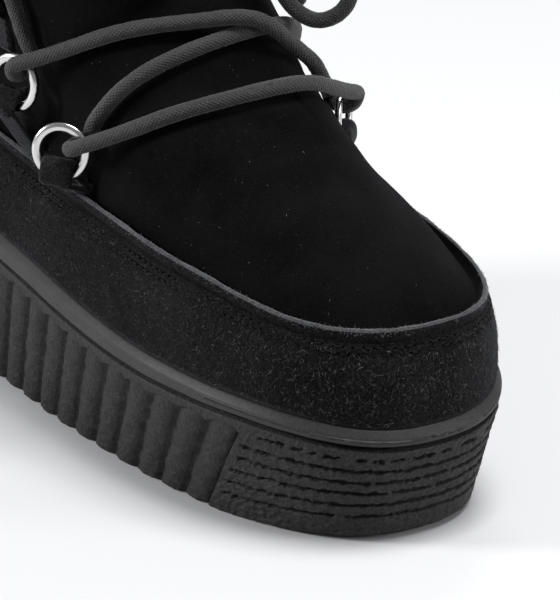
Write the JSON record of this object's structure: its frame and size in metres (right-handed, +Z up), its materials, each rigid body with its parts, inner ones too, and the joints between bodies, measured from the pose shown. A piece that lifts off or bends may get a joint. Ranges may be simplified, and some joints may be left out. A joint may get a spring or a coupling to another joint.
{
  "type": "platform winter boot",
  "caption": "Right platform ankle boot with a hollow suede upper, fluted rubber sole, side rings on straps and a round lace crossing the instep.",
  "frame": {"origin": "on the floor, under the middle of the boot's width and length", "axes": "+X towards the inner side of the foot, -Y towards the toe, +Z up"},
  "size_m": [0.1086, 0.271, 0.199],
  "materials": {
    "sole_rubber": "matt black foam rubber, ribbed wall",
    "band_rubber": "smooth satin black rubber",
    "insole_felt": "black felt and lining cloth",
    "suede": "black suede with a short nap",
    "tab_suede": "black suede straps, hairier nap",
    "ring_metal": "polished silver-coloured metal",
    "waxed_cord": "black round woven lace, slightly waxed"
  },
  "bodies": {
    "root": {"outsole": "sole_rubber", "sole_band": "band_rubber", "insole": "insole_felt", "upper": "suede", "ring_front_outer": "ring_metal", "ring_front_inner": "ring_metal", "ring_middle_outer": "ring_metal", "ring_middle_inner": "ring_metal", "ring_ankle_outer": "ring_metal", "ring_ankle_inner": "ring_metal", "tab_front_outer": "tab_suede", "tab_front_inner": "tab_suede", "tab_middle_outer": "tab_suede", "tab_middle_inner": "tab_suede", "tab_ankle_outer": "tab_suede", "tab_ankle_inner": "tab_suede", "lace_crossings": "waxed_cord", "bow_knot": "waxed_cord", "bow_loop_inner": "waxed_cord", "bow_loop_outer": "waxed_cord", "lace_end_inner": "waxed_cord", "lace_end_outer": "waxed_cord"}
  },
  "joints": []
}
